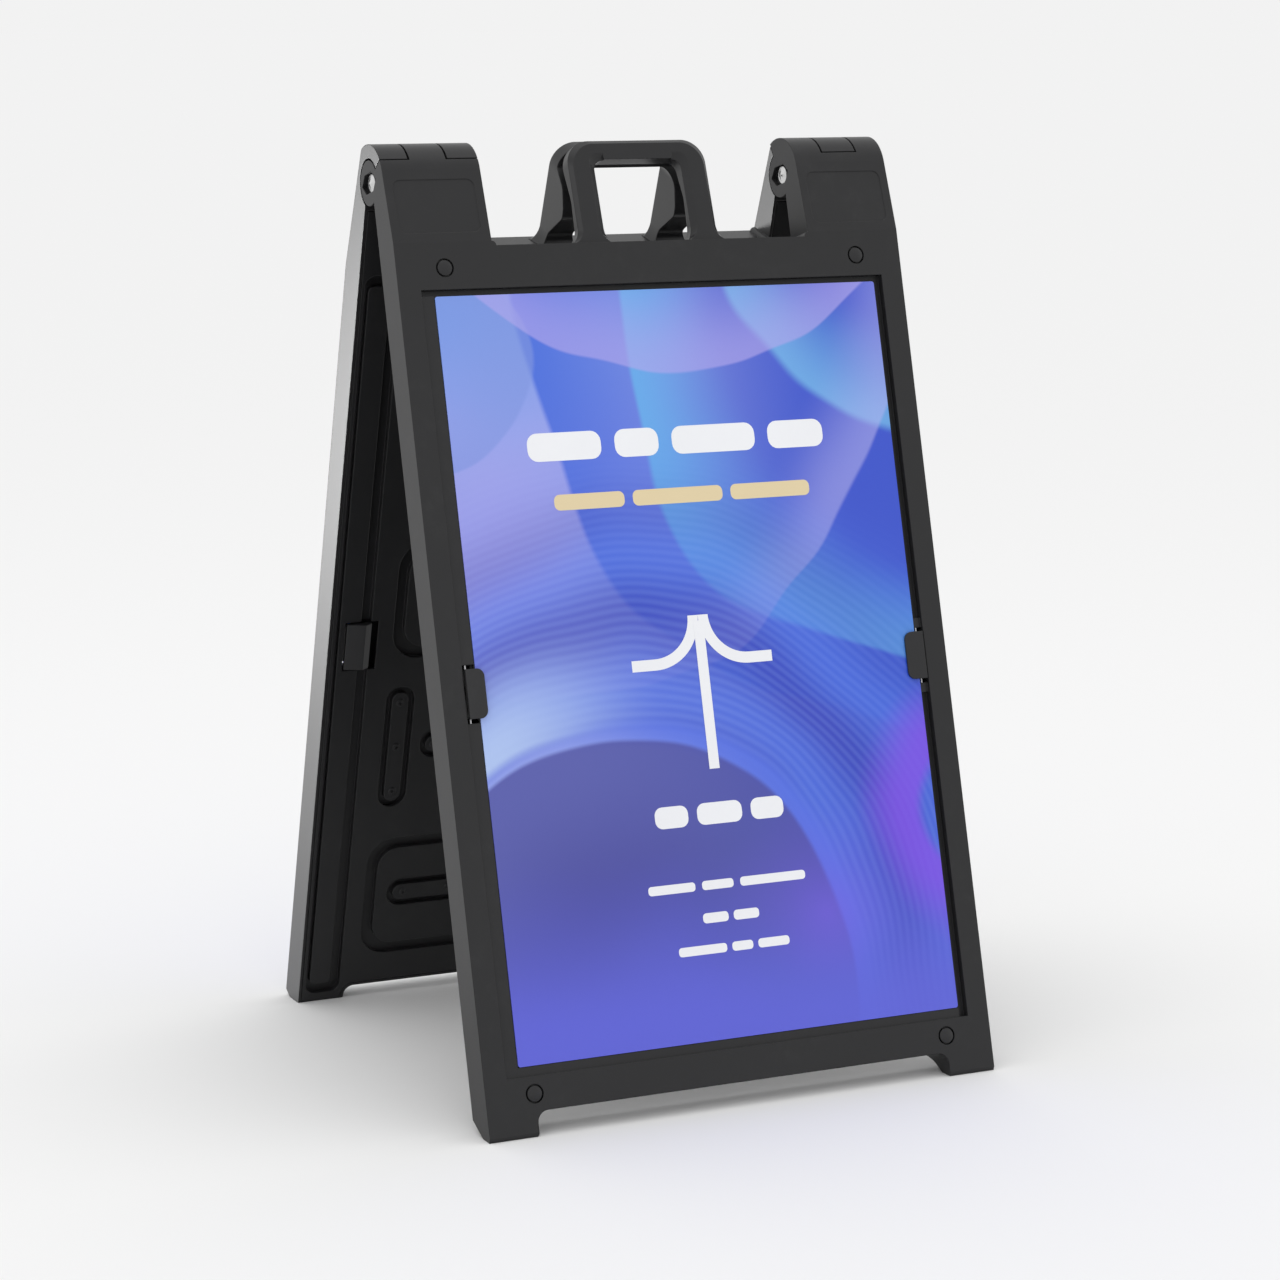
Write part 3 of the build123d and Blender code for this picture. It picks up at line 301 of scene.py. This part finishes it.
def wave_print(name, sheet):
    """Printed poster: folded ribbons of blue and violet, drawn from a few warped circles."""
    paint = Paint(name)
    place = paint.place()
    half_width, half_height = sheet["half"]
    centre = sheet["centre"]
    right = paint.along(place, sheet["across"]) - centre.dot(sheet["across"])
    above = paint.along(place, sheet["up"]) - centre.dot(sheet["up"])
    across = right / (2 * half_width) + 0.5
    height = above / (2 * half_height) + 0.5
    drift = paint.noise(place, 2.2, 2.0) - 0.5
    sway = paint.noise(place, 4.1, 1.0) - 0.5

    def from_point(x, y, flatness=1.0, warp=0.25):
        """Distance from a point on the sheet, in sheet heights, bent by the noise."""
        run = (across - x) * (half_width / half_height)
        climb = (height - y) * flatness
        return (run * run + climb * climb).root() + drift * warp

    # Ground: sky blue at the top, lilac at the left and clear blue to the right.
    ground = paint.blend(across.rise(0.15, 0.9), printed(140, 156, 230), printed(38, 72, 198))
    ground = paint.blend(height.rise(0.78, 1.0) * (1 - across.rise(0.0, 0.7)), ground,
                         printed(112, 148, 224))
    blush = (height + drift * 0.4).rise(0.46, 0.62) * (height + drift * 0.4).rise(0.92, 0.7)
    ground = paint.blend(blush * (1 - across.rise(0.05, 0.55)), ground, printed(160, 160, 230))

    # Folds like hung silk: crisp on one side and fading away on the other.
    for x, y, flatness, radius, fade, crisp, tone, strength in (
            (1.25, 1.10, 1.0, 0.74, 0.30, 0.012, (38, 92, 214), 0.85),
            (1.18, 0.98, 1.0, 0.52, 0.16, 0.010, (92, 172, 232), 0.8),
            (1.10, 1.16, 0.9, 0.34, 0.14, 0.014, (120, 196, 238), 0.6),
            (-0.30, 0.92, 1.6, 0.34, 0.20, 0.006, (118, 142, 218), 0.6),
            (0.52, 1.30, 1.1, 0.46, 0.16, 0.005, (168, 160, 232), 0.6),
            (0.18, 1.18, 0.9, 0.62, 0.12, 0.006, (176, 176, 238), 0.45)):
        fold = from_point(x, y, flatness, 0.22)
        shade = fold.rise(radius, radius - crisp) * fold.rise(radius - fade, radius)
        ground = paint.blend(shade * strength, ground, printed(*tone))

    # Long strands that sweep from the left edge round the right side.
    sweep = from_point(0.27, 0.06, 1.0, 0.09)
    band = sweep.rise(0.335, 0.365) * sweep.rise(0.78, 0.46)
    strand = (sweep * 560 + sway * 14).sine() * 0.5 + 0.5
    broad = (sweep * 38 + drift * 7).sine() * 0.5 + 0.5
    wave = paint.blend(broad, printed(30, 50, 180), printed(60, 98, 216))
    wave = paint.blend(strand * 0.12, wave, printed(150, 180, 248))
    ground = paint.blend(band * 0.8, ground, wave)
    crest = sweep.rise(0.345, 0.36) * sweep.rise(0.5, 0.37) * (1 - across.rise(0.0, 0.42))
    ground = paint.blend(crest * 0.85, ground, printed(178, 200, 238))
    lip = sweep.rise(0.325, 0.342) * sweep.rise(0.372, 0.352) * across.rise(0.1, 0.45)
    ground = paint.blend(lip * 0.7, ground, printed(76, 108, 226))

    # The calm indigo hollow under the wave, and the violet light that lifts its foot.
    hollow = sweep.rise(0.342, 0.334)
    ground = paint.blend(hollow * (1 - sweep.rise(0.1, 0.32) * 0.15), ground,
                         printed(60, 62, 152))
    lift = (height + sway * 0.1).rise(0.26, 0.02)
    ground = paint.blend(lift * 0.92, ground, printed(86, 92, 214))
    glow = from_point(0.72, 0.15, 1.1, 0.3)
    ground = paint.blend(glow.rise(0.17, 0.0) * 0.6, ground, printed(118, 88, 230))
    accent = from_point(1.07, 0.24, 0.75)
    accent_edge = accent.rise(0.075, 0.09) * accent.rise(0.17, 0.1)
    ground = paint.blend(accent_edge * 0.8, ground, printed(120, 66, 226))

    dots = paint.noise(place, 1500.0, 1.0)
    return paint.surface(Base_Color=ground, Roughness=0.34 + dots * 0.06,
                         Normal=paint.bump(dots, 0.00002, 0.3),
                         Coat_Weight=0.15, Coat_Roughness=0.2)


def dress(names, material):
    """Gives CAD nodes a material in place of their plain one."""
    for name in names:
        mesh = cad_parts[name].data
        mesh.materials.clear()
        mesh.materials.append(material)


# ---------------------------------------------------------------- new pieces
def sheet_frame(panel):
    """Where a panel's sheet stands: its middle, its directions and half its size."""
    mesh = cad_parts[f"{panel}_sign_sheet"].data
    outward = max(mesh.polygons, key=lambda face: face.area).normal.copy()
    facing = -1 if panel == "front" else 1
    if outward.y * facing < 0:
        outward.negate()
    across = Vector((-facing, 0, 0))
    up = outward.cross(across)
    spans = [[direction.dot(vertex.co) for vertex in mesh.vertices]
             for direction in (across, up, outward)]
    low, high = [min(span) for span in spans], [max(span) for span in spans]
    centre = (across * (low[0] + high[0]) + up * (low[1] + high[1])) / 2 + outward * high[2]
    return {"across": across, "up": up, "outward": outward, "centre": centre,
            "half": ((high[0] - low[0]) / 2, (high[1] - low[1]) / 2)}


def lay_film(name, shape, sheet, panel, film, material):
    """Thickens a flat shape, lays it on the sheet and makes it ride on the panel."""
    bmesh.ops.remove_doubles(shape, verts=shape.verts, dist=1e-6)
    bmesh.ops.recalc_face_normals(shape, faces=shape.faces)
    bmesh.ops.solidify(shape, geom=shape.faces[:], thickness=film)
    heights = [vertex.co.z for vertex in shape.verts]
    bmesh.ops.translate(shape, verts=shape.verts, vec=(0, 0, film / 8 - min(heights)))
    turn = Matrix((sheet["across"], sheet["up"], sheet["outward"])).transposed().to_4x4()
    bmesh.ops.transform(shape, matrix=Matrix.Translation(sheet["centre"]) @ turn,
                        verts=shape.verts)
    bmesh.ops.recalc_face_normals(shape, faces=shape.faces)
    mesh = bpy.data.meshes.new(name)
    shape.to_mesh(mesh)
    shape.free()
    mesh.materials.append(material)
    piece = bpy.data.objects.new(name, mesh)
    bpy.context.collection.objects.link(piece)
    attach(piece, f"{panel}_panel")
    return piece


def stroke_edge(shape, start, end):
    """One edge across a stroke, from which the stroke is drawn out."""
    verts = [bmesh.ops.create_vert(shape, co=(*place, 0))["vert"][0] for place in (start, end)]
    return shape.edges.new(verts)


def drag(shape, edge, step):
    """Draws an edge out into a strip and returns the strip's far edge."""
    made = bmesh.ops.extrude_edge_only(shape, edges=[edge])["geom"]
    bmesh.ops.translate(shape, vec=(*step, 0),
                        verts=[item for item in made if isinstance(item, bmesh.types.BMVert)])
    return [item for item in made if isinstance(item, bmesh.types.BMEdge)][0]


def rounded_bar(shape, x, y, length, thickness):
    """A bar with round ends, centred on a place on the sheet."""
    made = bmesh.ops.create_grid(shape, x_segments=1, y_segments=1, size=0.5)["verts"]
    bmesh.ops.scale(shape, vec=(length, thickness, 1), verts=made)
    bmesh.ops.translate(shape, vec=(x, y, 0), verts=made)
    bmesh.ops.bevel(shape, geom=made, offset=thickness * BAR_ROUNDING, affect="VERTICES",
                    segments=BAR_CORNER_STEPS, profile=0.5, material=-1)


class SIGN_OT_way_arrows(bpy.types.Operator):
    """Cuts an upward arrow with curved barbs from white film for each sheet"""
    bl_idname = "sign.way_arrows"
    bl_label = "Way arrows"

    def execute(self, context):
        settings = context.scene.sign_print
        stroke = settings.arrow_stroke
        radius = settings.barb_radius
        white = lettering_film("white_film", settings.white)
        for panel in PANELS:
            sheet = sheet_frame(panel)
            shape = bmesh.new()
            foot = ARROW_TIP - settings.arrow_height
            stem = stroke_edge(shape, (-stroke / 2, foot), (stroke / 2, foot))
            drag(shape, stem, (0, settings.arrow_height - stroke / 2))
            # The stem lies a little higher than the barbs that it crosses at the point.
            bmesh.ops.translate(shape, verts=shape.verts, vec=(0, 0, settings.film / 2))
            for side in (-1, 1):
                outer = stroke_edge(shape, (0, ARROW_TIP), (side * stroke, ARROW_TIP))
                centre = (side * (radius + stroke / 2), ARROW_TIP, 0)
                turned = bmesh.ops.spin(
                    shape, geom=[outer, *outer.verts], cent=centre, axis=(0, 0, 1),
                    angle=side * pi / 2, steps=BARB_STEPS, use_merge=False)
                end = [item for item in turned["geom_last"]
                       if isinstance(item, bmesh.types.BMEdge)][0]
                drag(shape, end, (side * settings.barb_tail, 0))
            lay_film(f"{panel}_way_arrow", shape, sheet, panel, settings.film, white)
        return {"FINISHED"}


# Rows of plain bars that stand for lines of print: height above the sheet's middle,
# thickness, bar lengths and the gap between bars, in millimetres.
WHITE_ROWS = ((268, 34, (96, 58, 112, 76), 18), (-184, 26, (44, 60, 44), 12),
              (-269, 11, (62, 42, 88), 9), (-308, 12, (34, 34), 7),
              (-345, 11, (64, 28, 42), 7))
GOLD_ROW = (201, 19, (92, 120, 108), 11)


class SIGN_OT_print_bars(bpy.types.Operator):
    """Cuts rows of plain bars, in place of words, from white and gold film"""
    bl_idname = "sign.print_bars"
    bl_label = "Print bars"

    def execute(self, context):
        settings = context.scene.sign_print
        films = (("white_bars", WHITE_ROWS, lettering_film("bar_white", settings.white)),
                 ("gold_bars", (GOLD_ROW,), lettering_film("bar_gold", settings.gold)))
        for panel in PANELS:
            sheet = sheet_frame(panel)
            for name, rows, material in films:
                shape = bmesh.new()
                for height, thickness, lengths, gap in rows:
                    x = -(sum(lengths) + gap * (len(lengths) - 1)) / 2
                    for length in lengths:
                        rounded_bar(shape, (x + length / 2) * MILLIMETRE, height * MILLIMETRE,
                                    length * MILLIMETRE, thickness * MILLIMETRE)
                        x += length + gap
                lay_film(f"{panel}_{name}", shape, sheet, panel, settings.film, material)
        return {"FINISHED"}


# ---------------------------------------------------------------- finishes, by operator
class SIGN_OT_mouldings(bpy.types.Operator):
    """Grained black plastic on the shells, covers and handles"""
    bl_idname = "sign.mouldings"
    bl_label = "Mouldings"

    def execute(self, context):
        settings = context.scene.sign_moulding
        dress([f"{panel}_face_shell" for panel in PANELS],
              moulded_plastic("shell_plastic", settings))
        dress([f"{panel}_back_cover" for panel in PANELS],
              moulded_plastic("cover_plastic", settings, roughness_shift=-0.02))
        dress([f"{panel}_handle" for panel in PANELS],
              moulded_plastic("handle_plastic", settings, roughness_shift=-0.06))
        return {"FINISHED"}


class SIGN_OT_clips(bpy.types.Operator):
    """Smoother black plastic on the clips and the corner plugs"""
    bl_idname = "sign.clips"
    bl_label = "Clips and plugs"

    def execute(self, context):
        settings = context.scene.sign_moulding
        dress([f"{panel}_{side}_clip" for panel in PANELS for side in TOWERS],
              moulded_plastic("clip_plastic", settings, roughness_shift=-0.05, lift=1.2))
        dress([f"{panel}_corner_plugs" for panel in PANELS],
              moulded_plastic("plug_plastic", settings, roughness_shift=-0.1, lift=1.1))
        return {"FINISHED"}


class SIGN_OT_hardware(bpy.types.Operator):
    """Plated steel on the bolts, nuts, washers, pins, springs and screws"""
    bl_idname = "sign.hardware"
    bl_label = "Hardware"

    def execute(self, context):
        dress([f"{side}_hinge_bolt" for side in TOWERS],
              plated_steel("bolt_steel", (0.72, 0.72, 0.72), 0.26, 160.0))
        dress([f"{side}_hinge_{part}" for side in TOWERS for part in ("nut", "washer")],
              plated_steel("nut_steel", (0.6, 0.6, 0.62), 0.34, 220.0))
        dress([f"{panel}_clip_pins" for panel in PANELS]
              + [f"{panel}_shell_screws" for panel in PANELS],
              plated_steel("pin_steel", (0.58, 0.58, 0.6), 0.3, 260.0))
        dress([f"{panel}_clip_springs" for panel in PANELS],
              plated_steel("spring_steel", (0.42, 0.42, 0.44), 0.3, 300.0))
        return {"FINISHED"}


class SIGN_OT_posters(bpy.types.Operator):
    """Prints the wave picture on both sign sheets"""
    bl_idname = "sign.posters"
    bl_label = "Posters"

    def execute(self, context):
        for panel in PANELS:
            dress([f"{panel}_sign_sheet"],
                  wave_print(f"{panel}_wave_print", sheet_frame(panel)))
        return {"FINISHED"}


# ---------------------------------------------------------------- stage
def softbox(name, place, target, size, power):
    """A rectangular white light that looks at a point."""
    light = bpy.data.lights.new(name, "AREA")
    light.shape = "RECTANGLE"
    light.size, light.size_y = size
    light.energy = power
    box = bpy.data.objects.new(name, light)
    box.location = place
    box.rotation_euler = (Vector(target) - Vector(place)).to_track_quat("-Z", "Y").to_euler()
    bpy.context.collection.objects.link(box)
    return box


def light_only(light, name, pieces):
    """Keeps a light to the pieces given."""
    lit = bpy.data.collections.new(name)
    for piece in pieces:
        lit.objects.link(piece)
    light.light_linking.receiver_collection = lit


class SIGN_OT_stage(bpy.types.Operator):
    """Plain pale floor, soft studio light and the camera"""
    bl_idname = "sign.stage"
    bl_label = "Stage"

    def execute(self, context):
        settings = context.scene.sign_stage
        low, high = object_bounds()
        middle = (low + high) / 2

        shape = bmesh.new()
        bmesh.ops.create_grid(shape, x_segments=8, y_segments=8, size=FLOOR_HALF)
        mesh = bpy.data.meshes.new("studio_floor")
        shape.to_mesh(mesh)
        shape.free()
        floor = bpy.data.objects.new("studio_floor", mesh)
        floor.location = (0, 0, low.z - FLOOR_GAP)
        context.collection.objects.link(floor)
        paint = Paint("floor_paint")
        mesh.materials.append(paint.surface(Base_Color=opaque(settings.floor_colour),
                                            Roughness=0.9, Specular_IOR_Level=0.0))
        floor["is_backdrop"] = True

        softbox("overhead_softbox", (-0.4, -0.2, 4.4), middle, (3.0, 3.0), 19.0)
        # The other softboxes light the sign alone, so the floor keeps one tone.
        sign = [item for item in context.scene.objects if item.type == "MESH" and item != floor]
        left = softbox("left_softbox", (-3.6, -0.6, 2.2), middle, (1.6, 2.4), 18.0)
        light_only(left, "left_lit", sign)
        # The strip that lights the rear panel's left side lights nothing else.
        strip = softbox("rear_edge_softbox", (-3.2, 3.4, 0.0), (low.x, 0.25, 0.0),
                        (0.9, 1.2), 440.0)
        light_only(strip, "edge_lit", [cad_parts[name] for name in EDGE_LIT])

        world = bpy.data.worlds.new("studio")
        world.use_nodes = True
        tree = world.node_tree
        tree.nodes.clear()
        room = tree.nodes.new("ShaderNodeBackground")
        room.inputs["Strength"].default_value = settings.sky
        seen = tree.nodes.new("ShaderNodeBackground")
        seen.inputs["Strength"].default_value = settings.backdrop
        for shade in (room, seen):
            shade.inputs["Color"].default_value = (1, 1, 1, 1)
        path = tree.nodes.new("ShaderNodeLightPath")
        either = tree.nodes.new("ShaderNodeMixShader")
        out = tree.nodes.new("ShaderNodeOutputWorld")
        tree.links.new(path.outputs["Is Camera Ray"], either.inputs[0])
        tree.links.new(room.outputs[0], either.inputs[1])
        tree.links.new(seen.outputs[0], either.inputs[2])
        tree.links.new(either.outputs[0], out.inputs["Surface"])
        context.scene.world = world
        context.scene.view_settings.view_transform = "Standard"

        camera = bpy.data.cameras.new("studio_camera")
        camera.sensor_width = 36.0
        camera.lens = settings.lens
        camera.clip_end = 2000.0
        eye = bpy.data.objects.new("studio_camera", camera)
        target = Vector((0.0186, 0.0, 0.5073))
        turn = Matrix.Rotation(settings.azimuth, 3, "Z") @ Matrix.Rotation(
            -settings.elevation, 3, "X")
        back = turn @ Vector((0, -1, 0))
        eye.location = target + back * settings.camera_distance
        eye.rotation_euler = (-back).to_track_quat("-Z", "Y").to_euler()
        context.collection.objects.link(eye)
        context.scene.camera = eye
        return {"FINISHED"}


class SIGN_PT_sidebar(bpy.types.Panel):
    """Lists the sign's operators in the order they are used"""
    bl_idname = "SIGN_PT_sidebar"
    bl_label = "Pavement sign"
    bl_space_type = "VIEW_3D"
    bl_region_type = "UI"
    bl_category = "Sign"

    def draw(self, context):
        column = self.layout.column()
        for name in ("sign_moulding", "sign_print", "sign_stage"):
            group = getattr(context.scene, name)
            for key in group.bl_rna.properties.keys():
                if key not in ("rna_type", "name"):
                    column.prop(group, key)
        for operator in OPERATORS:
            column.operator(operator.bl_idname)


SETTINGS = (("sign_moulding", MouldingSettings), ("sign_print", PrintSettings),
            ("sign_stage", StageSettings))
OPERATORS = (SIGN_OT_mouldings, SIGN_OT_clips, SIGN_OT_hardware, SIGN_OT_posters,
             SIGN_OT_way_arrows, SIGN_OT_print_bars, SIGN_OT_stage)
CLASSES = (MouldingSettings, PrintSettings, StageSettings, *OPERATORS, SIGN_PT_sidebar)


def register():
    for made in CLASSES:
        bpy.utils.register_class(made)
    for name, group in SETTINGS:
        setattr(bpy.types.Scene, name, PointerProperty(type=group))


def unregister():
    for name, group in SETTINGS:
        delattr(bpy.types.Scene, name)
    for made in reversed(CLASSES):
        bpy.utils.unregister_class(made)


def main():
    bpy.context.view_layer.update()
    register()
    bpy.ops.sign.mouldings()
    bpy.ops.sign.clips()
    bpy.ops.sign.hardware()
    bpy.ops.sign.posters()
    bpy.ops.sign.way_arrows()
    bpy.ops.sign.print_bars()
    bpy.ops.sign.stage()


if __name__ == "__main__":
    main()
